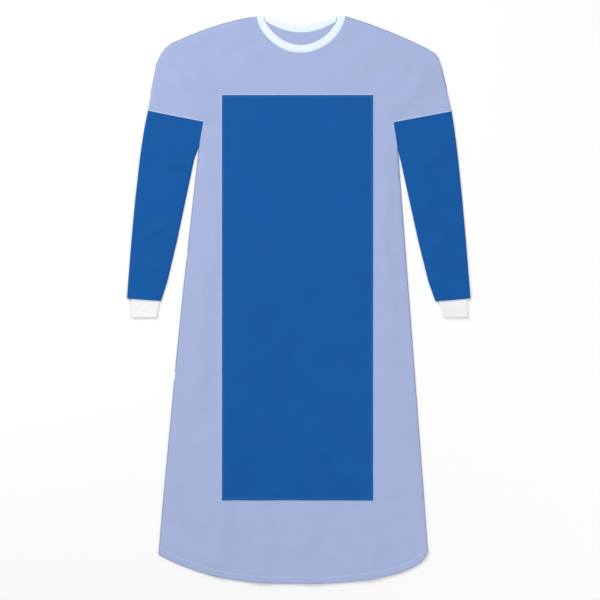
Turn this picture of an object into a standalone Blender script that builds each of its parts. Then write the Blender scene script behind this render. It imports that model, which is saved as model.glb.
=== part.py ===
"""A surgical gown lying flat on its back, as the cloth pieces that are cut and sewn together.

Metres. The surface it lies on is z = 0 and the origin is the middle of the gown on that surface.
+Y points to the neck, +Z is up, and left and right are those of someone who looks down on it.

Two kinds of edge shape everything. Along a closed edge (shoulder, side, underarm) the upper layer
curls down to the lower one. Along an open edge (neck, hem, sleeve seam) it simply ends.
"""

import math

import bmesh
import bpy
import numpy as np

# Walls and the height of each layer.
CLOTH = 0.0010
BINDING = 0.0013
KNIT = 0.0015
SEAM_GAP = 0.0003
BINDING_GAP = 2 * SEAM_GAP
BACK_STEP = CLOTH + 2 * SEAM_GAP
FRONT_BASE = CLOTH + SEAM_GAP
FRONT_LOFT = 0.0033
SLEEVE_END_LOFT = 0.0060
CURL_REACH = 0.0080

# The neck: y = TOP - depth * (1 - X^2) ** bend, with X = (x - NECK_MIDDLE) / half_width.
TOP = 0.6345
BOTTOM = -0.6345
NECK_MIDDLE = 0.0050
NECK_LINES = {
    # name: (half_width, depth, bend)
    "front_seam": (0.0985, 0.0810, 0.63),
    "front_free": (0.0837, 0.0645, 0.72),
    "back_seam": (0.0985, 0.0355, 1.15),
    "back_free": (0.0837, 0.0195, 1.30),
}
BACK_BINDING_END = 0.094

# Where the free edges of the two backs lie, and where the inner back climbs onto the outer one.
OUTER_BACK_EDGE = -0.050
INNER_BACK_EDGE = 0.084
CLIMB = (-0.080, -0.055)

# The panel on the front.
PANEL_LEFT, PANEL_RIGHT = -0.1724, 0.1671
PANEL_TOP, PANEL_BOTTOM = 0.4582, -0.4494

# The corner points of each half, as (x, y), and the middle handles of its curves.
HALVES = {
    "left": {
        "shoulder_handle": (-0.1850, 0.6205),
        "shoulder_end": (-0.2839, 0.5740),
        "corner_handle": (-0.3070, 0.5620),
        "corner_end": (-0.3198, 0.5236),
        "sleeve_top": (-0.3377, 0.4239),
        "seam_corner": (-0.2134, 0.3993),
        "underarm": (-0.2223, 0.3466),
        "side_handle": (-0.2750, -0.1100),
        "hem_corner": (-0.3130, -0.5695),
        "sleeve_handle": (-0.3625, 0.3200),
        "sleeve_end": (-0.3847, 0.0028),
        "inner_sleeve": ((-0.2346, 0.3130), (-0.2723, 0.1338), (-0.2933, 0.0442), (-0.3086, -0.0028)),
    },
    "right": {
        "shoulder_handle": (0.1993, 0.6064),
        "shoulder_end": (0.2940, 0.5583),
        "corner_handle": (0.3151, 0.5503),
        "corner_end": (0.3198, 0.5191),
        "sleeve_top": (0.3422, 0.4228),
        "seam_corner": (0.2122, 0.3982),
        "underarm": (0.2212, 0.3377),
        "side_handle": (0.2548, -0.1100),
        "hem_corner": (0.2884, -0.5583),
        "sleeve_handle": (0.3608, 0.3200),
        "sleeve_end": (0.3847, 0.0028),
        "inner_sleeve": ((0.2279, 0.3130), (0.2671, 0.1338), (0.2891, 0.0442), (0.3063, -0.0039)),
    },
}
HEM_BEND_LEFT = 2.6
HEM_BENDS_RIGHT = (2.4, 1 / 2.1)

# Sections along a sleeve: the share of its outer edge and of its underarm edge that lies above.
SLEEVE_SECTIONS = (
    # (outer, underarm)
    (0.00, 0.00),
    (0.09, 0.03),
    (0.18, 0.06),
    (0.26, 0.10),
    (0.48, 0.36),
    (0.69, 0.61),
    (0.90, 0.87),
    (0.96, 0.95),
    (1.00, 1.00),
)
STRAIGHT_FROM = 0.26
LOFTY_FROM = 0.87

# Sections of the cuffs: y, the two edges of each cuff, and the floor and height of the tube.
CUFF_SECTIONS = {
    # (y, left edge, right edge, floor, height)
    "left": (
        (0.0120, -0.3750, -0.3120, FRONT_BASE, 0.0033),
        (-0.0050, -0.3755, -0.3122, FRONT_BASE, 0.0033),
        (-0.0130, -0.3756, -0.3132, 0.0, 0.0050),
        (-0.0400, -0.3753, -0.3180, 0.0, 0.0050),
    ),
    "right": (
        (0.0120, 0.3125, 0.3755, FRONT_BASE, 0.0033),
        (-0.0050, 0.3128, 0.3768, FRONT_BASE, 0.0033),
        (-0.0130, 0.3160, 0.3777, 0.0, 0.0050),
        (-0.0400, 0.3254, 0.3791, 0.0, 0.0050),
    ),
}

# How closely the edges are followed.
EDGE_STEPS = (0.0, 0.0009, 0.0035, CURL_REACH)
NECK_END_ANGLES = (0.0, 0.030, 0.085, 0.160)
NECK_MIDDLE_SPANS = 10
TOP_ROWS = (0.0, 0.007, 0.026, 0.060, 0.28, 0.52, 0.76, 1.0)
STRIP_SHARES = (0.0, 0.15, 0.40, 0.70, 1.0)
SIDE_SPANS = 5
HEM_SPANS = 3

# name: (colour, roughness)
FINISHES = {
    "light_cloth": ((0.392, 0.462, 0.708), 0.85),
    "dark_cloth": ((0.009, 0.107, 0.372), 0.65),
    "binding": ((0.85, 0.93, 0.97), 0.80),
    "knit": ((0.90, 0.92, 0.92), 0.90),
}


def bezier(start, handle, end, count=16):
    """Points of a quadratic curve."""
    t = np.linspace(0, 1, count)[:, None]
    return (1 - t) ** 2 * np.array(start) + 2 * t * (1 - t) * np.array(handle) + t**2 * np.array(end)


def joined(*lines):
    """One line of points from several that meet end to end."""
    return np.concatenate([lines[0]] + [line[1:] for line in lines[1:]])


def lengths_along(line):
    return np.concatenate([[0], np.cumsum(np.linalg.norm(np.diff(line, axis=0), axis=1))])


def walk(line, distances):
    """The points of a line at these distances from its start."""
    along = lengths_along(line)
    return np.stack([np.interp(distances, along, line[:, axis]) for axis in (0, 1)], axis=1)


def share(line, shares):
    return walk(line, np.array(shares) * lengths_along(line)[-1])


def between(start, end, shares):
    return np.array(start) + np.outer(shares, np.array(end) - np.array(start))


def neck_line(name, angles, inset=0.0):
    """A neck line from its left end (angle 0) to its right end (angle pi), moved in by an inset."""
    half_width, depth, bend = NECK_LINES[name]
    x = NECK_MIDDLE - half_width * np.cos(angles)
    y = TOP - depth * np.sin(angles) ** (2 * bend)
    line = np.stack([x, y], axis=1)
    run = np.gradient(line, axis=0)
    run[0], run[-1] = (0, -1), (0, 1)
    inward = np.stack([-run[:, 1], run[:, 0]], axis=1)
    return line + inset * inward / np.linalg.norm(inward, axis=1)[:, None]


def neck_height(name, x):
    """The y of a neck line at x, which is the top line beyond its ends."""
    half_width, depth, bend = NECK_LINES[name]
    across = np.clip((np.asarray(x) - NECK_MIDDLE) / half_width, -1, 1)
    return TOP - depth * (1 - across**2) ** bend


def hem_height(x):
    """The hem sweeps up to a sharp corner on the left and a round one on the right."""
    left_x, left_y = HALVES["left"]["hem_corner"]
    right_x, right_y = HALVES["right"]["hem_corner"]
    left = np.clip(x / left_x, 0, 1)
    right = np.clip(x / right_x, 0, 1)
    sweep, turn = HEM_BENDS_RIGHT
    return (
        BOTTOM
        + (left_y - BOTTOM) * left**HEM_BEND_LEFT
        + (right_y - BOTTOM) * (1 - (1 - right**sweep) ** turn)
    )


def neck_angles():
    ends = np.array(NECK_END_ANGLES)
    middle = np.linspace(ends[-1], math.pi - ends[-1], NECK_MIDDLE_SPANS + 1)
    return np.concatenate([ends[:-1], middle, math.pi - ends[:-1][::-1]])


class Half:
    """The plan lines of one half of the gown."""

    def __init__(self, side):
        data = HALVES[side]
        self.sign = -1 if side == "left" else 1
        self.data = {key: np.array(value) for key, value in data.items()}
        self.neck_point = np.array([NECK_MIDDLE + self.sign * NECK_LINES["front_seam"][0], TOP])
        shoulder = bezier(self.neck_point, data["shoulder_handle"], data["shoulder_end"])
        corner = bezier(data["shoulder_end"], data["corner_handle"], data["corner_end"])
        half = len(corner) // 2
        self.shoulder = joined(shoulder, corner[: half + 1])[::-1]
        self.arm = joined(corner[half:], np.array([data["corner_end"], data["sleeve_top"]]))
        self.side = bezier(data["underarm"], data["side_handle"], data["hem_corner"])
        self.seam = np.array([data["sleeve_top"], data["seam_corner"], data["underarm"]])
        self.sleeve_seam = self.seam_moved(SEAM_GAP)
        self.sleeve_outer = bezier(self.sleeve_seam[0], data["sleeve_handle"], data["sleeve_end"], 24)
        self.sleeve_inner = np.concatenate([[self.sleeve_seam[2]], self.data["inner_sleeve"]])
        self.seam_steps = self.columns_of(self.seam)

    def seam_moved(self, gap):
        """The sleeve seam, moved onto the sleeve by a gap."""
        away = []
        for start, end in zip(self.seam, self.seam[1:]):
            x, y = (end - start) / np.linalg.norm(end - start)
            away.append(self.sign * np.array([-y, x]))
        middle = (away[0] + away[1]) / (1 + away[0] @ away[1])
        return self.seam + gap * np.array([away[0], middle, away[1]])

    def columns_of(self, line):
        """Distances along a sleeve section, close together near its ends, with one at the corner."""
        along = lengths_along(line)
        steps = np.array(EDGE_STEPS)
        to_corner = np.linspace(steps[-1], along[1], 4)
        to_end = np.linspace(along[1], along[2] - steps[-1], 3)
        return np.concatenate([steps[:-1], to_corner, to_end[1:], (along[2] - steps[:-1])[::-1]])

    def row_ends(self):
        """The outer ends of the rows that run right across the front, from the neck to the hem."""
        arm_length = lengths_along(self.arm)[-1]
        heights = self.arm[::-1, 1]
        to_panel_top = np.interp(PANEL_TOP, heights, lengths_along(self.arm)[::-1])
        arm = walk(self.arm, np.append(np.array(TOP_ROWS) * to_panel_top, arm_length))
        seam = walk(self.seam, self.seam_steps)
        side_heights = self.side[::-1, 1]
        side_lengths = lengths_along(self.side)
        to_panel_end = np.interp(PANEL_BOTTOM, side_heights, side_lengths[::-1])
        upper = np.linspace(0, to_panel_end, SIDE_SPANS + 1)
        lower = np.linspace(to_panel_end, side_lengths[-1], HEM_SPANS + 1)
        side = walk(self.side, np.concatenate([upper, lower[1:]]))
        return joined(arm, seam, side)


LEFT = Half("left")
RIGHT = Half("right")
PANEL_TOP_ROW = len(TOP_ROWS) - 1
PANEL_BOTTOM_ROW = -1 - HEM_SPANS


def closed_edges():
    """Every stretch of outline where the upper and the lower layer meet, as pairs of points."""
    inner_half_width = NECK_LINES["front_free"][0]
    stretches = []
    for half in (LEFT, RIGHT):
        binding_end = np.array([NECK_MIDDLE + half.sign * inner_half_width, TOP])
        shoulder = joined(half.shoulder, np.array([half.neck_point, binding_end]))
        for line in (shoulder, half.arm, half.side, half.sleeve_outer, half.sleeve_inner):
            stretches += list(zip(line, line[1:]))
    return np.array(stretches)


CLOSED_EDGES = closed_edges()


def nearest_edge(points):
    """For each plan point, how far the nearest closed edge is, and where."""
    start, run = CLOSED_EDGES[:, 0], CLOSED_EDGES[:, 1] - CLOSED_EDGES[:, 0]
    offset = points[:, None] - start
    along = np.clip((offset * run).sum(axis=2) / (run * run).sum(axis=1), 0, 1)
    foot = start + along[:, :, None] * run
    distance = np.linalg.norm(points[:, None] - foot, axis=2)
    best = distance.argmin(axis=1)
    rows = np.arange(len(points))
    return distance[rows, best], foot[rows, best]


def wall_over(plan, base, loft, wall):
    """The outer and the inner face of a wall over a grid of plan points.

    Within CURL_REACH of a closed edge it is a quarter of an ellipse that rises from the base, and
    the inner face is an ellipse smaller by the wall. Further in it is level.
    """
    rows, columns = plan.shape[:2]
    flat = plan.reshape(-1, 2)
    distance, foot = nearest_edge(flat)
    row_index, column_index = np.mgrid[0:rows, 0:columns]
    inside = plan[np.clip(row_index, 1, max(1, rows - 2)), np.clip(column_index, 1, columns - 2)]
    toward = inside.reshape(-1, 2) - flat
    toward /= np.maximum(np.linalg.norm(toward, axis=1), 1e-9)[:, None]
    on_edge = distance < 0.0002
    distance[on_edge] = 0
    probe = flat + toward * 0.0005
    foot[on_edge] = nearest_edge(probe)[1][on_edge]
    inward = np.where(on_edge[:, None], probe, flat) - foot
    inward /= np.maximum(np.linalg.norm(inward, axis=1), 1e-9)[:, None]
    lean = np.clip(1 - distance / CURL_REACH, 0, 1)
    rise = np.sqrt(1 - lean**2)
    loft = np.broadcast_to(np.asarray(loft, float), plan.shape[:2]).reshape(-1)
    outer = np.column_stack([flat, base + loft * rise])
    inner = np.column_stack([flat + inward * (wall * lean)[:, None], base + (loft - wall) * rise])
    return outer.reshape(rows, columns, 3), inner.reshape(rows, columns, 3)


def material(name):
    colour, roughness = FINISHES[name]
    made = bpy.data.materials.get(name) or bpy.data.materials.new(name)
    made.use_nodes = True
    shader = made.node_tree.nodes["Principled BSDF"]
    shader.inputs["Base Color"].default_value = (*colour, 1)
    shader.inputs["Roughness"].default_value = roughness
    shader.inputs["Metallic"].default_value = 0
    return made


def add_object(name, points, faces, finish):
    """One closed body, with its faces turned outward and its round stretches shaded smooth."""
    mesh = bpy.data.meshes.new(name)
    mesh.from_pydata([tuple(point) for point in points], [], faces)
    model = bmesh.new()
    model.from_mesh(mesh)
    bmesh.ops.recalc_face_normals(model, faces=model.faces)
    model.to_mesh(mesh)
    model.free()
    mesh.shade_smooth()
    mesh.set_sharp_from_angle(angle=math.radians(40))
    mesh.materials.append(material(finish))
    made = bpy.data.objects.new(name, mesh)
    bpy.context.scene.collection.objects.link(made)
    return made


def add_sheet(name, outer, inner, finish):
    """A wall between two grids of points, closed round its rim."""
    rows, columns = outer.shape[:2]
    count = rows * columns
    index = np.arange(count).reshape(rows, columns)
    faces = []
    for row in range(rows - 1):
        for column in range(columns - 1):
            corner = [index[row, column], index[row + 1, column]]
            corner += [index[row + 1, column + 1], index[row, column + 1]]
            faces.append([int(i) for i in corner])
            faces.append([int(i) + count for i in reversed(corner)])
    rim = [*index[:-1, 0], *index[-1, :-1], *index[:0:-1, -1], *index[0, :0:-1]]
    for here, there in zip(rim, rim[1:] + rim[:1]):
        faces.append([int(here), int(here) + count, int(there) + count, int(there)])
    points = np.concatenate([outer.reshape(-1, 3), inner.reshape(-1, 3)])
    return add_object(name, points, faces, finish)


def add_tube(name, outer, inner, finish):
    """A tube wall between two stacks of rings, open at both ends."""
    rings, count = outer.shape[:2]
    total = rings * count
    faces = []
    for ring in range(rings - 1):
        for here in range(count):
            there = (here + 1) % count
            corner = [ring * count + here, ring * count + there]
            corner += [(ring + 1) * count + there, (ring + 1) * count + here]
            faces.append(corner)
            faces.append([i + total for i in reversed(corner)])
    for ring in (0, rings - 1):
        for here in range(count):
            a, b = ring * count + here, ring * count + (here + 1) % count
            faces.append([a, b, b + total, a + total])
    points = np.concatenate([outer.reshape(-1, 3), inner.reshape(-1, 3)])
    return add_object(name, points, faces, finish)


def add_plate(name, outline, thickness, finish, climbs):
    """A flat piece on the floor. One that climbs is bent up onto the layer below it."""
    count = len(outline)
    points = [(x, y, z) for z in (0.0, thickness) for x, y in outline]
    faces = [list(range(count)), list(range(count, 2 * count))]
    faces += [[i, (i + 1) % count, (i + 1) % count + count, i + count] for i in range(count)]
    made = add_object(name, points, faces, finish)
    if climbs:
        model = bmesh.new()
        model.from_mesh(made.data)
        start, end = CLIMB
        for x in np.linspace(start, end, 5):
            everything = model.verts[:] + model.edges[:] + model.faces[:]
            bmesh.ops.bisect_plane(
                model, geom=everything, plane_co=(x, 0, 0), plane_no=(1, 0, 0), dist=1e-6
            )
        for vertex in model.verts:
            up = min(1.0, max(0.0, (vertex.co.x - start) / (end - start)))
            vertex.co.z += BACK_STEP * up * up * (3 - 2 * up)
        model.to_mesh(made.data)
        model.free()
    return made


def front_plan():
    """The grid of the front, with the columns that bound the panel."""
    angles = neck_angles()
    neck = neck_line("front_seam", angles)
    steps = np.array(EDGE_STEPS)
    top_half, corner_count = [], len(steps) + len(STRIP_SHARES) - 2
    for half, panel_x in ((LEFT, PANEL_LEFT), (RIGHT, PANEL_RIGHT)):
        lengths = lengths_along(half.shoulder)
        order = np.argsort(half.shoulder[:, 0])
        to_panel = np.interp(panel_x, half.shoulder[order, 0], lengths[order])
        strip = steps[-1] + (to_panel - steps[-1]) * np.array(STRIP_SHARES)
        to_neck = [(to_panel + lengths[-1]) / 2, lengths[-1]]
        top_half.append(walk(half.shoulder, np.concatenate([steps[:-1], strip, to_neck])))
    top = joined(top_half[0], neck, top_half[1][::-1])
    lefts, rights = LEFT.row_ends(), RIGHT.row_ends()
    panel_shares = np.linspace(0, 1, len(top) - 2 * corner_count)

    def level_row(left, right):
        left_strip = left[0] + steps[-1] + (PANEL_LEFT - left[0] - steps[-1]) * np.array(STRIP_SHARES)
        right_strip = right[0] - steps[-1] - (right[0] - steps[-1] - PANEL_RIGHT) * np.array(STRIP_SHARES)
        middle = PANEL_LEFT + (PANEL_RIGHT - PANEL_LEFT) * panel_shares
        x = np.concatenate([
            left[0] + steps[:-1], left_strip[:-1], middle, right_strip[::-1][1:], right[0] - steps[:-1][::-1],
        ])
        y = np.interp(x, (left[0], right[0]), (left[1], right[1]))
        return np.stack([x, y], axis=1)

    base = level_row(lefts[PANEL_TOP_ROW], rights[PANEL_TOP_ROW])
    across = np.linspace(0, 1, len(top))[:, None]
    rows = []
    for number, v in enumerate(TOP_ROWS[:-1]):
        row = (1 - v) * top + v * base
        left_bend = lefts[number] - row[0]
        right_bend = rights[number] - row[-1]
        rows.append(row + (1 - across) * left_bend + across * right_bend)
    for number in range(PANEL_TOP_ROW, len(lefts)):
        rows.append(level_row(lefts[number], rights[number]))
    for number in range(1, HEM_SPANS + 1):
        row = rows[PANEL_BOTTOM_ROW + number]
        hem = hem_height(row[:, 0])
        straight = row[:, 1]
        last = np.interp(row[:, 0], (row[0, 0], row[-1, 0]), (rows[-1][0, 1], rows[-1][-1, 1]))
        row[:, 1] = straight + (hem - last) * (number / HEM_SPANS) ** 1.5 if number < HEM_SPANS else hem
    return np.array(rows), corner_count


def build_front():
    plan, strip = front_plan()
    outer, inner = wall_over(plan, FRONT_BASE, FRONT_LOFT, CLOTH)
    add_sheet("front", outer, inner, "light_cloth")
    return plan, outer, strip


def build_panel(outer, strip):
    """The reinforcement, from the front's own points moved out by the seam gap."""
    rows = list(range(PANEL_TOP_ROW, len(outer) + PANEL_BOTTOM_ROW, 4)) + [len(outer) + PANEL_BOTTOM_ROW]
    columns = list(range(strip, outer.shape[1] - strip, 4))
    if columns[-1] != outer.shape[1] - strip - 1:
        columns.append(outer.shape[1] - strip - 1)
    under = outer[np.ix_(rows, columns)] + (0, 0, SEAM_GAP)
    add_sheet("reinforcement", under + (0, 0, CLOTH), under, "dark_cloth")


def build_backs(plan):
    """Two flat backs that share the front's outline and overlap at the middle."""
    angles = neck_angles()
    neck = neck_line("front_seam", angles)
    hem = plan[-1]
    shoulder_points = len(plan[0]) - len(neck)
    left_shoulder = plan[0, : shoulder_points // 2 + 1]
    right_shoulder = plan[0, -1 - shoulder_points // 2 :]
    samples = NECK_MIDDLE - NECK_LINES["back_seam"][0] * np.cos(angles)
    for name, edge, sign, shoulder, side in (
        ("back_inner", INNER_BACK_EDGE, -1, left_shoulder, plan[:, 0]),
        ("back_outer", OUTER_BACK_EDGE, 1, right_shoulder[::-1], plan[:, -1]),
    ):
        within = samples[(samples - edge) * sign > 0.002][::sign]
        neck_x = np.append(edge, within[:-1])
        neck_part = np.stack([neck_x, neck_height("back_seam", neck_x)], axis=1)
        hem_x = hem[(hem[:, 0] - edge) * sign > 0.002]
        hem_x = hem_x if sign < 0 else hem_x[::-1]
        end = np.array([[edge, hem_height(edge)]])
        outline = np.concatenate([neck_part, shoulder[::-1], side[1:], hem_x[1:], end])
        add_plate(name, outline, CLOTH, "light_cloth", climbs=name == "back_inner")
        far_end = NECK_MIDDLE + sign * BACK_BINDING_END
        seam_x = np.append(within[np.abs(within - NECK_MIDDLE) < BACK_BINDING_END], far_end)
        seam_x = np.append(edge, seam_x)
        free_x = seam_x[::-1]
        seam = np.stack([seam_x, neck_height("back_seam", seam_x) + SEAM_GAP], axis=1)
        free = np.stack([free_x, neck_height("back_free", free_x)], axis=1)
        strip_name = name.replace("back", "neck_binding_back")
        add_plate(strip_name, np.concatenate([seam, free]), BINDING, "binding", climbs=name == "back_inner")


def build_front_binding():
    angles = neck_angles()
    seam = neck_line("front_seam", angles, BINDING_GAP)
    free = neck_line("front_free", angles)
    plan = np.array([free, (seam + free) / 2, seam])
    base = BINDING + SEAM_GAP
    top = FRONT_BASE + FRONT_LOFT + (BINDING - CLOTH) / 2
    outer, inner = wall_over(plan, base, top - base, BINDING)
    add_sheet("neck_binding_front", outer, inner, "binding")


def build_sleeve(side, half):
    """A flattened tube: level underneath, arched above, its first ring bent along the seam."""
    seam_line = half.sleeve_seam
    seam_steps = half.columns_of(seam_line)
    seam_length = lengths_along(seam_line)[-1]
    bend = walk(seam_line, seam_steps) - between(seam_line[0], seam_line[-1], seam_steps / seam_length)
    corner = len(EDGE_STEPS) + 2
    steps = np.array(EDGE_STEPS)
    middle = (seam_steps[3:-3] - steps[-1]) / (seam_length - 2 * steps[-1])
    plan, lofts = [], []
    for outer_share, inner_share in SLEEVE_SECTIONS:
        start = share(half.sleeve_outer, [outer_share])[0]
        end = share(half.sleeve_inner, [inner_share])[0]
        straight = min(1.0, outer_share / STRAIGHT_FROM)
        width = np.linalg.norm(end - start) * straight + seam_length * (1 - straight)
        inside = steps[-1] + (width - 2 * steps[-1]) * middle
        shares = np.concatenate([steps[:-1], inside, (width - steps[:-1])[::-1]]) / width
        plan.append(between(start, end, shares) + (1 - straight) * bend)
        puff = max(0.0, (inner_share - LOFTY_FROM) / (1 - LOFTY_FROM))
        lofts.append(FRONT_LOFT + (SLEEVE_END_LOFT - FRONT_LOFT) * puff)
    plan = np.array(plan)
    outer, inner = wall_over(plan, FRONT_BASE, np.array(lofts)[:, None], CLOTH)
    under = [-1, corner, 0]
    floor_outer = outer[:, under] * (1, 1, 0)
    floor_inner = inner[:, under] * (1, 1, 0) + (0, 0, CLOTH)
    add_tube(
        f"sleeve_{side}",
        np.concatenate([outer, floor_outer], axis=1),
        np.concatenate([inner, floor_inner], axis=1),
        "dark_cloth",
    )


def cuff_ring(y, left, right, floor, height):
    """A section of a flattened tube: two half circles joined by level stretches."""
    radius = height / 2
    turn = np.radians(np.linspace(-90, 90, 7))
    x = np.concatenate([right - radius + radius * np.cos(turn), left + radius - radius * np.cos(turn)])
    z = np.concatenate([radius * np.sin(turn), -radius * np.sin(turn)]) + floor + radius
    return np.stack([x, np.full_like(x, y), z], axis=1)


def build_cuff(side):
    outer, inner = [], []
    for y, left, right, floor, height in CUFF_SECTIONS[side]:
        outer.append(cuff_ring(y, left, right, floor, height))
        inner.append(cuff_ring(y, left + KNIT, right - KNIT, floor + KNIT, height - 2 * KNIT))
    add_tube(f"cuff_{side}", np.array(outer), np.array(inner), "knit")


def main():
    for leftover in list(bpy.data.objects):
        bpy.data.objects.remove(leftover, do_unlink=True)
    plan, outer, strip = build_front()
    build_panel(outer, strip)
    build_backs(plan)
    build_front_binding()
    for side, half in (("left", LEFT), ("right", RIGHT)):
        build_sleeve(side, half)
        build_cuff(side)


main()
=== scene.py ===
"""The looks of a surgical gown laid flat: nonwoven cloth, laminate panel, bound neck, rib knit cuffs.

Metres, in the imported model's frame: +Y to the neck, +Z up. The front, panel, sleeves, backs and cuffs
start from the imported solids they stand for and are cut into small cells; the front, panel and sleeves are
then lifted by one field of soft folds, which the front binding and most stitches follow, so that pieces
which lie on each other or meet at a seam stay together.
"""

import math

import bmesh
import bpy
import numpy as np
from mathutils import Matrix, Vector, kdtree


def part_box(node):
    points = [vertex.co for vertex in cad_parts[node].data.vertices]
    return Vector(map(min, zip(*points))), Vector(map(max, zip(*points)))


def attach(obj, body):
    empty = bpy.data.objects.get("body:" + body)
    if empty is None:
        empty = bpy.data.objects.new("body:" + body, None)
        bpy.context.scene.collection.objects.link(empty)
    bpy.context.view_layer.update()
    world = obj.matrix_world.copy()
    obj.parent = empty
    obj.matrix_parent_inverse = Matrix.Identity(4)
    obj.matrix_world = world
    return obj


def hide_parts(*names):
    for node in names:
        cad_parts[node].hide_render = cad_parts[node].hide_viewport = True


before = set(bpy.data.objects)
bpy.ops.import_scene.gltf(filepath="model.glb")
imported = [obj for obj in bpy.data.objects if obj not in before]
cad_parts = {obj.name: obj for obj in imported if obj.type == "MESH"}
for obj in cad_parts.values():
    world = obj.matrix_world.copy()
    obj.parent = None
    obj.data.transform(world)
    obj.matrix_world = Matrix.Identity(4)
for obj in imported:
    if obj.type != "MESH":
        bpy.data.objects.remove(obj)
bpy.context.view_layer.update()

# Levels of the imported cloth: over a tube's floor, over a closed edge, and where an upper layer starts.
FLOOR_TOP = 0.0012
CLOSED_EDGE_TOP = 0.00135
UPPER_LAYER_FROM = 0.0024

# Cutting: cell sizes, how near two points are joined, and how flat a joined face has to be.
BODY_CELL = 0.0090
BACK_CELL = 0.0180
SLEEVE_CELL = 0.0060
JOIN_WITHIN = 2e-6
CUT_WITHIN = 1e-5
FLAT_WITHIN = math.radians(0.5)

# Folds: how far in from a closed edge they reach full height, and how they sway and die out.
FADE = 0.045
FOLD_GAIN = 1.3
SWAY = 0.35
SWAY_TURNS = 5.0
SWAY_START = 40
FOLD_END = 0.35
FOLD_END_LEAD = 0.6

# Neck lines: y = top - depth * (1 - X^2) ** bend, with X = (x - NECK_MIDDLE) / half_width.
NECK_MIDDLE = 0.0050
NECK_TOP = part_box("front")[1][1]
NECK_LINES = {
    # name: (half_width, depth, bend)
    "front_seam": (0.0985, 0.0810, 0.63),
    "front_free": (0.0837, 0.0645, 0.72),
    "back_seam": (0.0985, 0.0355, 1.15),
    "back_free": (0.0837, 0.0195, 1.30),
}

# Soft folds: from (x, y) to (x, y), how wide, and how high. A trough has a negative height.
FOLDS = (
    # x0, y0, x1, y1, width, height
    (-0.290, 0.500, -0.205, 0.415, 0.020, 0.0042),
    (-0.255, 0.530, -0.185, 0.470, 0.016, 0.0026),
    (0.285, 0.500, 0.200, 0.420, 0.021, 0.0038),
    (0.250, 0.525, 0.195, 0.485, 0.015, 0.0024),
    (-0.205, 0.345, -0.190, 0.060, 0.014, 0.0034),
    (-0.215, 0.120, -0.225, -0.220, 0.018, 0.0040),
    (0.203, 0.335, 0.196, 0.020, 0.015, 0.0036),
    (0.212, 0.050, 0.232, -0.300, 0.019, 0.0036),
    (-0.262, -0.180, -0.285, -0.480, 0.017, 0.0030),
    (0.245, -0.200, 0.262, -0.470, 0.016, 0.0030),
    (-0.120, 0.420, -0.132, 0.120, 0.030, 0.0022),
    (0.100, 0.400, 0.128, 0.030, 0.034, 0.0024),
    (-0.030, 0.260, 0.010, -0.120, 0.040, 0.0020),
    (-0.110, 0.020, -0.090, -0.380, 0.032, 0.0028),
    (0.060, -0.080, 0.090, -0.430, 0.036, 0.0026),
    (-0.190, -0.300, -0.175, -0.600, 0.024, 0.0046),
    (-0.075, -0.420, -0.095, -0.628, 0.024, 0.0044),
    (0.025, -0.400, 0.030, -0.632, 0.026, 0.0038),
    (0.130, -0.380, 0.165, -0.612, 0.024, 0.0048),
    (-0.080, 0.555, -0.150, 0.500, 0.018, 0.0018),
    (0.090, 0.555, 0.150, 0.510, 0.018, 0.0018),
    (-0.318, 0.340, -0.270, 0.300, 0.012, 0.0030),
    (-0.345, 0.250, -0.285, 0.205, 0.013, 0.0036),
    (-0.300, 0.175, -0.350, 0.135, 0.012, 0.0030),
    (-0.365, 0.095, -0.315, 0.065, 0.010, 0.0026),
    (0.322, 0.335, 0.272, 0.290, 0.012, 0.0032),
    (0.288, 0.235, 0.345, 0.200, 0.013, 0.0034),
    (0.358, 0.160, 0.300, 0.120, 0.012, 0.0030),
    (0.318, 0.085, 0.365, 0.058, 0.010, 0.0026),
)
BACK_FOLDS = (
    # x0, y0, x1, y1, width, height
    (-0.045, 0.600, -0.015, 0.560, 0.010, 0.0006),
    (0.050, 0.598, 0.024, 0.562, 0.010, 0.0005),
)

# Sewing.
# A stitch's length, pitch and thickness. Where the pitch is under the length, they make a bead.
TOPSTITCH = (0.0032, 0.0046, 0.0009)
OVERLOCK = (0.0038, 0.0031, 0.0017)
HEM_WIDTH = 0.0130

STITCH_SIDES = 6
# How a stitch thickens along its length: (share of length from its middle, share of thickness).
STITCH_PROFILE = ((-0.5, 0.25), (-0.3, 1.0), (0.3, 1.0), (0.5, 0.25))
HEADING_REACH = 0.0008
PANEL_STITCH_INSET = 0.0045
EDGING_OFFSET = 0.0003
EDGING_DROP = 0.0006

# Edges sharper than this, in degrees, show as creases.
SOFT_ANGLE = 50
STRIP_ANGLE = 60
KNIT_ANGLE = 75

# Rib knit.
RIB_PITCH = 0.0030
RIB_DEPTH = 0.0005
CUFF_CELL_ACROSS = 0.0006
CUFF_CELL_ALONG = 0.0050
CUFF_BANDS = 5

# Where the sleeves are sewn on: outer end and inner corner.
SLEEVE_SEAMS = {
    "left": ((-0.3365, 0.4236), (-0.2134, 0.3993)),
    "right": ((0.3410, 0.4225), (0.2122, 0.3982)),
}
SEAM_LEVEL = 0.0045

# The hem's two halves: half width, rise to the corner, and how the curve bends.
HEM_BOTTOM = -0.6345
HEM_LEFT = (0.3130, 0.0650, 2.6)
HEM_RIGHT = (0.2884, 0.0762, 2.4, 2.1)
HEM_POINTS = 160
HEM_STITCH_ENDS = 6

# Where each side seam ends: its hem corner and its underarm.
SIDE_ENDS = {
    "left": ((-0.3128, -0.5690), (-0.2226, 0.3450)),
    "right": ((0.2882, -0.5578), (0.2215, 0.3360)),
}
SIDE_SPAN = (-0.545, 0.335)
SHOULDER_FROM = (0.100, 0.425)

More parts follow.
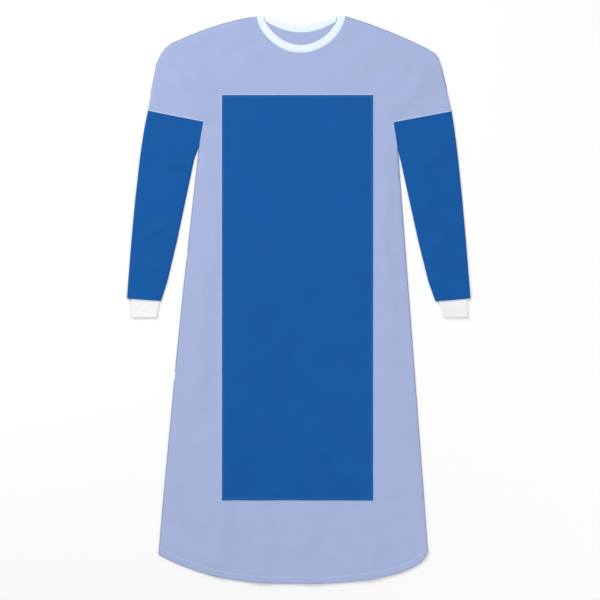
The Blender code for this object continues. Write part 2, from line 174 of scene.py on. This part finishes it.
# The cuffs' outlines: down the outer side, across the wrist, and up the inner side.
CUFF_OUTLINES = {
    "left": ((-0.3750, -0.0030), (-0.3753, -0.0390), (-0.3180, -0.0390), (-0.3133, -0.0040)),
    "right": ((0.3755, -0.0030), (0.3789, -0.0390), (0.3256, -0.0390), (0.3142, -0.0040)),
}
CUFF_SIDE_LEVEL = 0.0028
CUFF_HEM_LEVEL = 0.0047
CUFF_HEM_FROM = -0.0385
EDGE_LEVEL = 0.0012
EDGE_SPACING = 0.0120

# Bindings: how far they lap over the cloth, how they are rounded, and where they lie.
BINDING_OVERLAP = 0.0005
BINDING_WALL = 0.0013
BINDING_CROWN = 0.0011
BINDING_ROWS = 9
NECK_POINTS = 97
FRONT_BINDING_LOW = 0.0016
FRONT_BINDING_RISE = 0.0018
FRONT_BINDING_REACH = 0.0080
BINDING_STITCH_SHARE = 0.16
BINDING_STITCH_ENDS = 4
BINDING_STITCH_RISE = 0.0008
BACK_BINDING_POINTS = 61
BACK_BINDING_WALL = 0.0011
BACK_BINDING_BASE = 0.0001
BACK_BINDINGS = {
    # layer: (low x, high x, climb over the other back, crown)
    "inner": (-0.089, 0.084, 0.0016, 0.0006),
    "outer": (-0.050, 0.099, 0.0, 0.0002),
}
CLIMB_FROM = -0.080
CLIMB_LENGTH = 0.025

# Camera: straight above the middle, taking in 1.344 m of the surface.
CAMERA_AT = (0.0028, -0.0006, 3.7334)
CAMERA_LENS = 100.0
CAMERA_SENSOR = 36.0

# Studio.
FLOOR_REACH = 6.0
FLOOR_LEVEL = -0.0002
FLOOR_COLOUR = (0.97, 0.97, 0.97, 1)
WORLD_STRENGTH = 0.56
LAMPS = (
    # name, place, size, power
    ("key", (-2.2, 2.0, 2.4), 1.6, 72.0),
    ("fill", (2.4, -1.2, 2.6), 2.4, 40.0),
)


def smooth(value):
    value = np.clip(value, 0, 1)
    return value * value * (3 - 2 * value)


def neck_height(name, x):
    half_width, depth, bend = NECK_LINES[name]
    across = np.clip((np.asarray(x) - NECK_MIDDLE) / half_width, -1, 1)
    return NECK_TOP - depth * (1 - across**2) ** bend


def neck_line(name, count):
    """Points of a neck line from its left end to its right end."""
    half_width, depth, bend = NECK_LINES[name]
    angle = np.linspace(0, math.pi, count)
    x = NECK_MIDDLE - half_width * np.cos(angle)
    return np.stack([x, NECK_TOP - depth * np.sin(angle) ** (2 * bend)], axis=1)


def fold_field(folds, x, y):
    """The height of the folds at each plan point. Each fold swells and dies out along its length."""
    height = np.zeros_like(x)
    for x0, y0, x1, y1, width, top in folds:
        run = np.array([x1 - x0, y1 - y0])
        length = np.linalg.norm(run)
        along = ((x - x0) * run[0] + (y - y0) * run[1]) / length
        sideways = (-(x - x0) * run[1] + (y - y0) * run[0]) / length
        sway = SWAY * width * np.sin(along / length * SWAY_TURNS + SWAY_START * x0)
        end = FOLD_END * length
        ends = smooth(along / end + FOLD_END_LEAD) * smooth((length - along) / end + FOLD_END_LEAD)
        height += FOLD_GAIN * top * ends * np.exp(-(((sideways - sway) / width) ** 2))
    return height


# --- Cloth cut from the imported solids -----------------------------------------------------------


def copy_of(node, name):
    """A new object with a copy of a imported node's mesh, with its doubled points joined."""
    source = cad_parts[node]
    mesh = source.data.copy()
    mesh.name = name
    mesh.materials.clear()
    made = bpy.data.objects.new(name, mesh)
    made.matrix_world = source.matrix_world.copy()
    bpy.context.scene.collection.objects.link(made)
    model = bmesh.new()
    model.from_mesh(mesh)
    model.transform(made.matrix_world)
    made.matrix_world.identity()
    bmesh.ops.remove_doubles(model, verts=model.verts, dist=JOIN_WITHIN)
    bmesh.ops.dissolve_limit(model, angle_limit=FLAT_WITHIN, verts=model.verts, edges=model.edges)
    model.to_mesh(mesh)
    model.free()
    if "custom_normal" in mesh.attributes:
        mesh.attributes.remove(mesh.attributes["custom_normal"])
    return made


def dice(piece, step_x, step_y):
    """Cuts a piece's faces along a grid of upright planes."""
    model = bmesh.new()
    model.from_mesh(piece.data)
    corners = np.array([vertex.co for vertex in model.verts])
    low, high = corners.min(axis=0), corners.max(axis=0)
    for axis, step in ((0, step_x), (1, step_y)):
        count = max(1, round((high[axis] - low[axis]) / step))
        normal = Vector((axis == 0, axis == 1, 0))
        for place in np.linspace(low[axis], high[axis], count + 1)[1:-1]:
            everything = model.verts[:] + model.edges[:] + model.faces[:]
            bmesh.ops.bisect_plane(
                model, geom=everything, plane_co=normal * place, plane_no=normal, dist=CUT_WITHIN
            )
    bmesh.ops.triangulate(model, faces=[face for face in model.faces if len(face.verts) > 4])
    model.to_mesh(piece.data)
    model.free()


def points_of(piece):
    points = np.empty(len(piece.data.vertices) * 3)
    piece.data.vertices.foreach_get("co", points)
    return points.reshape(-1, 3)


def set_points(piece, points):
    piece.data.vertices.foreach_set("co", points.ravel())
    piece.data.update()


class ClosedEdges:
    """Where the upper layers of some pieces come down, and how far any plan point is from there."""

    def __init__(self, pieces):
        found = []
        for piece in pieces:
            points = points_of(piece)
            found.append(points[(points[:, 2] < CLOSED_EDGE_TOP) & (points[:, 2] > FLOOR_TOP)])
        self.on_first = np.concatenate([np.full(len(part), part is found[0]) for part in found])
        found = np.concatenate(found)
        self.points = found
        self.tree = kdtree.KDTree(len(found))
        for index, (x, y, _) in enumerate(found):
            self.tree.insert((x, y, 0), index)
        self.tree.balance()

    def distance(self, points):
        return np.array([self.tree.find((x, y, 0))[2] for x, y in points[:, :2]])


def lift_of(points):
    """The lift of the upper layer over plan points: none at a closed edge, whole well inside."""
    weight = smooth(closed_edges.distance(points) / FADE)
    return fold_field(FOLDS, points[:, 0], points[:, 1]) * weight


def lift_upper(piece):
    points = points_of(piece)
    upper = points[:, 2] > FLOOR_TOP
    points[upper, 2] += lift_of(points[upper])
    set_points(piece, points)


def finish_piece(piece, node, material, angle=SOFT_ANGLE):
    """Gives a cloth piece its finish and smooth shading, hides the imported part it stands for, and hangs
    it from the root.
    """
    piece.data.materials.append(material)
    piece.data.shade_smooth()
    piece.data.set_sharp_from_angle(angle=math.radians(angle))
    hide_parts(node)
    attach(piece, "root")


def new_object(name, points, faces, material):
    mesh = bpy.data.meshes.new(name)
    mesh.from_pydata([tuple(point) for point in points], [], faces)
    model = bmesh.new()
    model.from_mesh(mesh)
    bmesh.ops.recalc_face_normals(model, faces=model.faces)
    model.to_mesh(mesh)
    model.free()
    mesh.materials.append(material)
    mesh.shade_smooth()
    made = bpy.data.objects.new(name, mesh)
    bpy.context.scene.collection.objects.link(made)
    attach(made, "root")
    return made


# --- Finishes -----------------------------------------------------------------------------------


def new_group(name, inputs, outputs):
    """A shader group with its named sockets, and its two end nodes."""
    group = bpy.data.node_groups.new(name, "ShaderNodeTree")
    for label, kind, value in inputs:
        socket = group.interface.new_socket(name=label, in_out="INPUT", socket_type=kind)
        if value is not None:
            socket.default_value = value
    for label, kind in outputs:
        group.interface.new_socket(name=label, in_out="OUTPUT", socket_type=kind)
    return group, group.nodes.new("NodeGroupInput"), group.nodes.new("NodeGroupOutput")


def node(tree, kind, settings=None, **inputs):
    """A shader node, with each named input set to a value or linked to another node's output."""
    made = tree.nodes.new(kind)
    for key, value in (settings or {}).items():
        setattr(made, key, value)
    for label, value in inputs.items():
        socket = made.inputs[label]
        if isinstance(value, bpy.types.NodeSocket):
            tree.links.new(value, socket)
        else:
            socket.default_value = value
    return made


def math_node(tree, operation, first, second=0.5):
    """The output of a maths node on two values or outputs."""
    made = tree.nodes.new("ShaderNodeMath")
    made.operation = operation
    for socket, value in zip(made.inputs, (first, second)):
        if isinstance(value, bpy.types.NodeSocket):
            tree.links.new(value, socket)
        else:
            socket.default_value = value
    return made.outputs[0]


def mottle_group():
    """Cloudy, fibrous colour variation, as in a web of laid fibres, and painted shade in a pattern's
    hollows.
    """
    group, start, end = new_group(
        "Fibre Mottle",
        [
            ("Colour", "NodeSocketColor", (0.5, 0.5, 0.5, 1)),
            ("Cloud Scale", "NodeSocketFloat", 30.0),
            ("Fibre Scale", "NodeSocketFloat", 600.0),
            ("Amount", "NodeSocketFloat", 0.1),
            ("Pattern", "NodeSocketFloat", 1.0),
            ("Pattern Amount", "NodeSocketFloat", 0.0),
        ],
        [("Colour", "NodeSocketColor"), ("Mask", "NodeSocketFloat")],
    )
    place = group.nodes.new("ShaderNodeTexCoord").outputs["Object"]
    cloud = node(group, "ShaderNodeTexNoise", Vector=place, Scale=start.outputs["Cloud Scale"], Detail=4.0)
    fibre = node(group, "ShaderNodeTexNoise", Vector=place, Scale=start.outputs["Fibre Scale"], Detail=3.0)
    cloud_part = math_node(group, "MULTIPLY", cloud.outputs["Fac"], 0.6)
    fibre_part = math_node(group, "MULTIPLY", fibre.outputs["Fac"], 0.4)
    blend = math_node(group, "ADD", cloud_part, fibre_part)
    centred = math_node(group, "SUBTRACT", blend, 0.5)
    gain = math_node(group, "MULTIPLY", centred, start.outputs["Amount"])
    # Painted shade: the pattern's hollows are darkened by Pattern Amount.
    lowered = math_node(group, "SUBTRACT", start.outputs["Pattern"], 1.0)
    painted_dimple_shade = math_node(group, "MULTIPLY", lowered, start.outputs["Pattern Amount"])
    value = math_node(group, "ADD", math_node(group, "ADD", gain, painted_dimple_shade), 1.0)
    shade = node(group, "ShaderNodeHueSaturation", Color=start.outputs["Colour"], Value=value)
    group.links.new(shade.outputs["Color"], end.inputs["Colour"])
    group.links.new(blend, end.inputs["Mask"])
    return group


def bond_group():
    """A lattice of small bonded dents, as left where a nonwoven is bonded by heat."""
    group, start, end = new_group(
        "Bond Points",
        [("Pitch", "NodeSocketFloat", 0.0024), ("Size", "NodeSocketFloat", 0.35)],
        [("Height", "NodeSocketFloat")],
    )
    place = group.nodes.new("ShaderNodeTexCoord").outputs["Object"]
    parts = node(group, "ShaderNodeSeparateXYZ", Vector=place)
    diagonal = math_node(group, "ADD", parts.outputs["X"], parts.outputs["Y"])
    counter = math_node(group, "SUBTRACT", parts.outputs["X"], parts.outputs["Y"])
    waves = []
    for line in (diagonal, counter):
        turns = math_node(group, "DIVIDE", line, start.outputs["Pitch"])
        wave = math_node(group, "SINE", math_node(group, "MULTIPLY", turns, math.pi))
        waves.append(math_node(group, "ABSOLUTE", wave))
    peak = math_node(group, "MULTIPLY", waves[0], waves[1])
    dent = node(group, "ShaderNodeMapRange", {"interpolation_type": "SMOOTHSTEP"}, Value=peak)
    group.links.new(math_node(group, "SUBTRACT", 1.0, start.outputs["Size"]), dent.inputs["From Min"])
    dent.inputs["To Min"].default_value = 1.0
    dent.inputs["To Max"].default_value = 0.0
    group.links.new(dent.outputs["Result"], end.inputs["Height"])
    return group


def fuzz_group():
    """The small uneven surface of matted or spun fibres."""
    group, start, end = new_group(
        "Fibre Fuzz", [("Scale", "NodeSocketFloat", 900.0)], [("Height", "NodeSocketFloat")]
    )
    place = group.nodes.new("ShaderNodeTexCoord").outputs["Object"]
    scale = start.outputs["Scale"]
    fine = node(group, "ShaderNodeTexNoise", Vector=place, Scale=scale, Detail=5.0, Roughness=0.7)
    wide = node(group, "ShaderNodeTexNoise", Vector=place, Scale=60.0, Detail=3.0)
    wide_part = math_node(group, "MULTIPLY", wide.outputs["Fac"], 2.0)
    both = math_node(group, "ADD", fine.outputs["Fac"], wide_part)
    group.links.new(both, end.inputs["Height"])
    return group


def weave_group():
    """Fine crossing threads of a narrow woven strip."""
    group, start, end = new_group(
        "Fine Weave", [("Pitch", "NodeSocketFloat", 0.0008)], [("Height", "NodeSocketFloat")]
    )
    place = group.nodes.new("ShaderNodeTexCoord").outputs["Object"]
    parts = node(group, "ShaderNodeSeparateXYZ", Vector=place)
    waves = []
    for axis in ("X", "Y"):
        turns = math_node(group, "DIVIDE", parts.outputs[axis], start.outputs["Pitch"])
        wave = math_node(group, "SINE", math_node(group, "MULTIPLY", turns, 2 * math.pi))
        waves.append(wave)
    crossing = math_node(group, "MULTIPLY", waves[0], waves[1])
    group.links.new(crossing, end.inputs["Height"])
    return group


MOTTLE, BONDS, FUZZ, WEAVE = mottle_group(), bond_group(), fuzz_group(), weave_group()


def placed(tree, group, **inputs):
    """A shader group in a material, with its inputs set. An underscore stands for a space."""
    made = tree.nodes.new("ShaderNodeGroup")
    made.node_tree = group
    for label, value in inputs.items():
        made.inputs[label.replace("_", " ")].default_value = value
    return made


def cloth_material(name, colour, mottle, heights, roughness, sheen=0.0, specular=0.3):
    """A cloth finish: a mottled colour, a roughness that follows it, and stacked bumps.

    The first bump's pattern also darkens the colour in its hollows by the mottle's Pattern_Amount: painted
    shade in the dimples.
    """
    material = bpy.data.materials.new(name)
    material.use_nodes = True
    tree = material.node_tree
    shader = tree.nodes["Principled BSDF"]
    variation = placed(tree, MOTTLE, Colour=(*colour, 1), **mottle)
    tree.links.new(variation.outputs["Colour"], shader.inputs["Base Color"])
    spread = node(tree, "ShaderNodeMapRange", Value=variation.outputs["Mask"])
    spread.inputs["To Min"].default_value = roughness[0]
    spread.inputs["To Max"].default_value = roughness[1]
    tree.links.new(spread.outputs["Result"], shader.inputs["Roughness"])
    shader.inputs["Sheen Weight"].default_value = sheen
    shader.inputs["Sheen Roughness"].default_value = 0.5
    shader.inputs["Specular IOR Level"].default_value = specular
    normal = None
    for group, inputs, distance, strength in heights:
        height = placed(tree, group, **inputs)
        if normal is None:
            tree.links.new(height.outputs["Height"], variation.inputs["Pattern"])
        bump = node(tree, "ShaderNodeBump", Height=height.outputs["Height"])
        bump.inputs["Distance"].default_value = distance
        bump.inputs["Strength"].default_value = strength
        if normal:
            tree.links.new(normal, bump.inputs["Normal"])
        normal = bump.outputs["Normal"]
    tree.links.new(normal, shader.inputs["Normal"])
    return material


LIGHT_CLOTH = cloth_material(
    "light nonwoven",
    (0.375, 0.448, 0.700),
    # Pattern_Amount paints shade into the bond dimples.
    {"Cloud_Scale": 22.0, "Fibre_Scale": 500.0, "Amount": 0.16, "Pattern_Amount": 0.07},
    [(BONDS, {"Pitch": 0.0026, "Size": 0.35}, 0.00018, 0.6), (FUZZ, {"Scale": 800.0}, 0.00012, 0.5)],
    (0.70, 0.95),
    sheen=0.10,
)
DARK_CLOTH = cloth_material(
    "dark laminate",
    (0.0040, 0.096, 0.352),
    # Pattern_Amount paints shade into the bond dimples.
    {"Cloud_Scale": 14.0, "Fibre_Scale": 420.0, "Amount": 0.30, "Pattern_Amount": 0.16},
    [(BONDS, {"Pitch": 0.0030, "Size": 0.30}, 0.00022, 0.8), (FUZZ, {"Scale": 500.0}, 0.00018, 0.6)],
    (0.55, 0.78),
    specular=0.12,
)
BINDING_CLOTH = cloth_material(
    "white binding",
    (0.80, 0.90, 0.95),
    {"Cloud_Scale": 40.0, "Fibre_Scale": 900.0, "Amount": 0.08},
    [(WEAVE, {"Pitch": 0.0009}, 0.00012, 0.5), (FUZZ, {"Scale": 1200.0}, 0.00008, 0.4)],
    (0.70, 0.90),
)
KNIT_YARN = cloth_material(
    "white rib knit",
    (0.94, 0.95, 0.96),
    {"Cloud_Scale": 60.0, "Fibre_Scale": 1500.0, "Amount": 0.10},
    [(WEAVE, {"Pitch": 0.0016}, 0.00025, 0.6), (FUZZ, {"Scale": 1500.0}, 0.00010, 0.5)],
    (0.80, 0.98),
    sheen=0.15,
)
PALE_THREAD = cloth_material(
    "pale thread",
    (0.70, 0.77, 0.94),
    {"Cloud_Scale": 80.0, "Fibre_Scale": 2000.0, "Amount": 0.12},
    [(FUZZ, {"Scale": 2500.0}, 0.00005, 0.5)],
    (0.55, 0.75),
)
BLUE_THREAD = cloth_material(
    "mid blue thread",
    (0.07, 0.25, 0.56),
    {"Cloud_Scale": 80.0, "Fibre_Scale": 2000.0, "Amount": 0.12},
    [(FUZZ, {"Scale": 2500.0}, 0.00005, 0.5)],
    (0.60, 0.80),
)
GREY_THREAD = cloth_material(
    "grey blue thread",
    (0.19, 0.25, 0.40),
    {"Cloud_Scale": 80.0, "Fibre_Scale": 2000.0, "Amount": 0.12},
    [(FUZZ, {"Scale": 2500.0}, 0.00005, 0.5)],
    (0.60, 0.80),
)
SOFT_GREY_YARN = cloth_material(
    "soft grey yarn",
    (0.62, 0.65, 0.66),
    {"Cloud_Scale": 80.0, "Fibre_Scale": 2000.0, "Amount": 0.12},
    [(FUZZ, {"Scale": 2500.0}, 0.00005, 0.5)],
    (0.75, 0.95),
)
WHITE_THREAD = cloth_material(
    "white thread",
    (0.78, 0.84, 0.90),
    {"Cloud_Scale": 80.0, "Fibre_Scale": 2000.0, "Amount": 0.12},
    [(FUZZ, {"Scale": 2500.0}, 0.00005, 0.5)],
    (0.55, 0.75),
)


# --- The cloth ----------------------------------------------------------------------------------

front = copy_of("front", "front_cloth")
dice(front, BODY_CELL, BODY_CELL)
sleeves = {}
for side in ("left", "right"):
    sleeves[side] = copy_of(f"sleeve_{side}", f"sleeve_{side}_cloth")
    dice(sleeves[side], SLEEVE_CELL, SLEEVE_CELL)
closed_edges = ClosedEdges([front, *sleeves.values()])


lift_upper(front)
finish_piece(front, "front", LIGHT_CLOTH)
for side, piece in sleeves.items():
    lift_upper(piece)
    finish_piece(piece, f"sleeve_{side}", DARK_CLOTH)

panel = copy_of("reinforcement", "reinforcement_cloth")
dice(panel, BODY_CELL, BODY_CELL)
lift_upper(panel)
finish_piece(panel, "reinforcement", DARK_CLOTH)

for layer in ("inner", "outer"):
    back = copy_of(f"back_{layer}", f"back_{layer}_cloth")
    dice(back, BACK_CELL, BACK_CELL)
    if layer == "inner":
        points = points_of(back)
        top = points[:, 2] > UPPER_LAYER_FROM
        points[top, 2] += fold_field(BACK_FOLDS, points[top, 0], points[top, 1])
        set_points(back, points)
    finish_piece(back, f"back_{layer}", LIGHT_CLOTH)


# --- Bindings -----------------------------------------------------------------------------------


def soft_strip(name, seam, free, under, lift, node_name, crown=BINDING_CROWN, wall=BINDING_WALL):
    """A folded strip between two lines, plump in the middle and thin at its two edges."""
    across = np.linspace(0, 1, BINDING_ROWS)
    outer, inner = [], []
    for share in across:
        line = seam * (1 - share) + free * share
        plump = crown * math.sin(math.pi * share) ** 0.5
        base = under + (lift_of(line) if lift else 0)
        outer.append(np.column_stack([line, base + wall + plump]))
        inner.append(np.column_stack([line, base]))
    count = len(seam)
    points = np.concatenate([*outer, *inner])
    index = np.arange(len(across) * count).reshape(len(across), count)
    total = index.size
    faces = []
    for row in range(len(across) - 1):
        for column in range(count - 1):
            face = [*index[row, column : column + 2], *index[row + 1, column : column + 2][::-1]]
            faces.append([int(i) for i in face])
            faces.append([int(i) + total for i in reversed(face)])
    rim = [*index[0, :-1], *index[:-1, -1], *index[-1, :0:-1], *index[:0:-1, 0]]
    for here, there in zip(rim, rim[1:] + rim[:1]):
        faces.append([int(here), int(there), int(there) + total, int(here) + total])
    made = new_object(name, points, faces, BINDING_CLOTH)
    made.data.set_sharp_from_angle(angle=math.radians(STRIP_ANGLE))
    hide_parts(node_name)


def front_binding_base(line):
    """The underside of the front binding, low where it meets the shoulders."""
    down = NECK_TOP - line[:, 1]
    lean = np.clip(1 - down / FRONT_BINDING_REACH, 0, 1)
    return FRONT_BINDING_LOW + FRONT_BINDING_RISE * np.sqrt(1 - lean**2)


def moved_left(line, distance):
    """A line moved to its own left side, as seen from above while going along it."""
    run = np.gradient(line, axis=0)
    run /= np.linalg.norm(run, axis=1)[:, None]
    return line + distance * np.column_stack([-run[:, 1], run[:, 0]])


front_seam_line = neck_line("front_seam", NECK_POINTS)
front_free_line = neck_line("front_free", NECK_POINTS)
front_seam_line[1:-1] = moved_left(front_seam_line, -BINDING_OVERLAP)[1:-1]
soft_strip(
    "neck_binding_front_cloth",
    front_seam_line,
    front_free_line,
    front_binding_base((front_seam_line + front_free_line) / 2),
    True,
    "neck_binding_front",
)

for layer, (low, high, climb, crown) in BACK_BINDINGS.items():
    across = np.linspace(low, high, BACK_BINDING_POINTS)
    level = climb * smooth((across - CLIMB_FROM) / CLIMB_LENGTH)
    soft_strip(
        f"neck_binding_back_{layer}_cloth",
        np.column_stack([across, neck_height("back_seam", across) - BINDING_OVERLAP]),
        np.column_stack([across, neck_height("back_free", across)]),
        level + BACK_BINDING_BASE,
        False,
        f"neck_binding_back_{layer}",
        crown=crown,
        wall=BACK_BINDING_WALL,
    )


# --- Rib knit cuffs -----------------------------------------------------------------------------


def rib_cuff(side):
    """A cuff cut finely across, with its upper layer raised into ribs."""
    piece = copy_of(f"cuff_{side}", f"cuff_{side}_knit")
    dice(piece, CUFF_CELL_ACROSS, CUFF_CELL_ALONG)
    points = points_of(piece)
    low, high = points.min(axis=0), points.max(axis=0)
    steps = np.linspace(low[1], high[1], CUFF_BANDS + 1)
    sides = []
    for lower, upper in zip(steps[:-1], steps[1:]):
        near = points[(points[:, 1] >= lower) & (points[:, 1] <= upper)]
        sides.append(((lower + upper) / 2, near[:, 0].min(), near[:, 0].max()))
    middle, left, right = np.array(sides).T
    start = np.polyval(np.polyfit(middle, left, 1), points[:, 1])
    width = np.polyval(np.polyfit(middle, right, 1), points[:, 1]) - start
    ribs = round((high[0] - low[0]) / RIB_PITCH)
    wave = np.cos(2 * math.pi * ribs * (points[:, 0] - start) / width)
    top = points[:, 2] > UPPER_LAYER_FROM
    edge = smooth(np.minimum(points[:, 0] - start, start + width - points[:, 0]) / RIB_PITCH)
    points[top, 2] += (RIB_DEPTH * (wave * edge))[top]
    set_points(piece, points)
    finish_piece(piece, f"cuff_{side}", KNIT_YARN, angle=KNIT_ANGLE)


for side in ("left", "right"):
    rib_cuff(side)


# --- Stitching ----------------------------------------------------------------------------------


def spaced(line, pitch):
    """Places along a line at an even pitch, with their directions."""
    along = np.concatenate([[0], np.cumsum(np.linalg.norm(np.diff(line, axis=0), axis=1))])
    count = int(along[-1] / pitch)
    at = (np.arange(count) + 0.5) * along[-1] / count
    places = np.stack([np.interp(at, along, line[:, i]) for i in range(2)], axis=1)
    ahead = np.stack([np.interp(at + HEADING_REACH, along, line[:, i]) for i in range(2)], axis=1)
    behind = np.stack([np.interp(at - HEADING_REACH, along, line[:, i]) for i in range(2)], axis=1)
    run = ahead - behind
    return places, run / np.linalg.norm(run, axis=1)[:, None]


def hem_outline(count):
    """The hem from its left corner to its right corner: a long curve that turns up sharply at the right."""
    turn = np.linspace(-math.pi / 2, math.pi / 2, count)
    left, right = -HEM_LEFT[0] * np.sin(turn[turn < 0]), HEM_RIGHT[0] * np.sin(turn[turn >= 0])
    left_share, right_share = left / HEM_LEFT[0], right / HEM_RIGHT[0]
    left_y = HEM_BOTTOM + HEM_LEFT[1] * left_share ** HEM_LEFT[2]
    fall = np.clip(1 - right_share ** HEM_RIGHT[2], 0, 1) ** (1 / HEM_RIGHT[3])
    right_y = HEM_BOTTOM + HEM_RIGHT[1] * (1 - fall)
    return np.column_stack([np.concatenate([-left, right]), np.concatenate([left_y, right_y])])


def cuff_edge_level(places):
    return np.where(places[:, 1] < CUFF_HEM_FROM, CUFF_HEM_LEVEL, CUFF_SIDE_LEVEL)


def even_line(points, axis):
    """A line through scattered edge points, in order along x (0) or y (1): the outermost of each cell."""
    order = points[np.argsort(points[:, axis])]
    cells = np.round(order[:, axis] / EDGE_SPACING).astype(int)
    middle = np.array([NECK_MIDDLE, 0.0])
    kept = []
    for cell in np.unique(cells):
        near = order[cells == cell][:, :2]
        kept.append(near[np.argmax(np.linalg.norm(near - middle, axis=1))])
    return np.array(kept)


def level(height):
    """A function that gives one height at any places."""
    return lambda places: np.full(len(places), height)


def rectangle(low, high, outset):
    """The outline of a box in plan, moved out by outset."""
    x0, y0 = low[:2] - outset
    x1, y1 = high[:2] + outset
    return np.array([(x0, y0), (x1, y0), (x1, y1), (x0, y1), (x0, y0)])


def stitch_row(name, line, height, material, size=TOPSTITCH, lift=True):
    """A row of small rounded stitches on the cloth: a line of them, or a bead where they overlap."""
    length, pitch, thickness = size
    places, runs = spaced(line, pitch)
    heights = height(places) + (lift_of(places) if lift else 0)
    points, faces = [], []
    for (x, y), (dx, dy), z in zip(places, runs, heights):
        first = len(points)
        for along, fat in STITCH_PROFILE:
            for turn in range(STITCH_SIDES):
                angle = turn * 2 * math.pi / STITCH_SIDES
                side = thickness / 2 * fat * math.cos(angle)
                rise = thickness / 2 * fat * math.sin(angle)
                step = length * along
                points.append((x + dx * step - dy * side, y + dy * step + dx * side, z + rise))
        for ring in range(len(STITCH_PROFILE) - 1):
            for turn in range(STITCH_SIDES):
                a = first + ring * STITCH_SIDES + turn
                b = first + ring * STITCH_SIDES + (turn + 1) % STITCH_SIDES
                faces.append((a, b, b + STITCH_SIDES, a + STITCH_SIDES))
        last = len(points) - STITCH_SIDES
        faces.append(tuple(reversed(range(first, first + STITCH_SIDES))))
        faces.append(tuple(range(last, last + STITCH_SIDES)))
    new_object(name, points, faces, material)


panel_low, panel_high = (np.array(corner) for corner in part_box("reinforcement"))
panel_top = panel_high[2]
panel_line = rectangle(panel_low, panel_high, -PANEL_STITCH_INSET)
stitch_row("panel_stitches", panel_line, level(panel_top), BLUE_THREAD)
panel_edge = rectangle(panel_low, panel_high, EDGING_OFFSET)
stitch_row("panel_edging", panel_edge, level(panel_top - EDGING_DROP), PALE_THREAD, OVERLOCK)
for side, corners in SLEEVE_SEAMS.items():
    seam = np.array(corners)
    stitch_row(f"sleeve_seam_{side}", seam, level(SEAM_LEVEL), PALE_THREAD, OVERLOCK)

front_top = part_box("front")[1][2]
hem_edge = hem_outline(HEM_POINTS)
hem_fold = moved_left(hem_edge, HEM_WIDTH)[HEM_STITCH_ENDS:-HEM_STITCH_ENDS]
stitch_row("hem_stitches", hem_fold, level(front_top), PALE_THREAD)

edge_points = closed_edges.points
edge_x, edge_y = edge_points[:, 0], edge_points[:, 1]
on_shoulder = (np.abs(edge_x) > SHOULDER_FROM[0]) & (edge_y > SHOULDER_FROM[1])
on_side = (edge_y > SIDE_SPAN[0]) & (edge_y < SIDE_SPAN[1]) & closed_edges.on_first
for side, half in (("left", edge_x < 0), ("right", edge_x > 0)):
    hem_corner, underarm = SIDE_ENDS[side]
    shoulder = even_line(edge_points[half & on_shoulder], 0)
    flank = np.vstack([[hem_corner], even_line(edge_points[half & on_side], 1), [underarm]])
    for part, line in (("shoulder", shoulder), ("side", flank)):
        name = f"{part}_seam_{side}"
        stitch_row(name, line, level(EDGE_LEVEL), GREY_THREAD, OVERLOCK, lift=False)

hem_level = level(front_top - EDGING_DROP)
stitch_row("hem_overlock", hem_edge, hem_level, GREY_THREAD, OVERLOCK)

for side, corners in CUFF_OUTLINES.items():
    line = np.array(corners)
    stitch_row(f"cuff_edge_{side}", line, cuff_edge_level, SOFT_GREY_YARN, OVERLOCK, lift=False)

inner = slice(BINDING_STITCH_ENDS, -BINDING_STITCH_ENDS)
share = BINDING_STITCH_SHARE
binding_line = front_seam_line[inner] * (1 - share) + front_free_line[inner] * share
stitch_row(
    "binding_stitches",
    binding_line,
    lambda places: front_binding_base(places) + BINDING_WALL + BINDING_STITCH_RISE,
    WHITE_THREAD,
)


# --- Floor, light and camera --------------------------------------------------------------------


def studio():
    """A pale floor, even light from above with a stronger side, and the camera."""
    floor_mesh = bpy.data.meshes.new("floor")
    reach = FLOOR_REACH
    corners = [(-reach, -reach, 0), (reach, -reach, 0), (reach, reach, 0), (-reach, reach, 0)]
    floor_mesh.from_pydata(corners, [], [(0, 1, 2, 3)])
    floor = bpy.data.objects.new("floor", floor_mesh)
    floor.location.z = FLOOR_LEVEL
    bpy.context.scene.collection.objects.link(floor)
    paint = bpy.data.materials.new("pale floor")
    paint.use_nodes = True
    shader = paint.node_tree.nodes["Principled BSDF"]
    shader.inputs["Base Color"].default_value = FLOOR_COLOUR
    shader.inputs["Roughness"].default_value = 0.9
    floor_mesh.materials.append(paint)

    scene = bpy.context.scene
    scene.view_settings.view_transform = "Standard"
    world = bpy.data.worlds.new("studio")
    world.use_nodes = True
    world.node_tree.nodes["Background"].inputs["Color"].default_value = (1, 1, 1, 1)
    world.node_tree.nodes["Background"].inputs["Strength"].default_value = WORLD_STRENGTH
    scene.world = world
    for name, place, size, power in LAMPS:
        lamp = bpy.data.lights.new(name, "AREA")
        lamp.size = size
        lamp.energy = power
        holder = bpy.data.objects.new(name, lamp)
        holder.location = place
        holder.rotation_euler = (-Vector(place)).to_track_quat("-Z", "Y").to_euler()
        scene.collection.objects.link(holder)

    lens = bpy.data.cameras.new("camera")
    lens.lens = CAMERA_LENS
    lens.sensor_width = CAMERA_SENSOR
    camera = bpy.data.objects.new("camera", lens)
    camera.location = CAMERA_AT
    scene.collection.objects.link(camera)
    scene.camera = camera


studio()
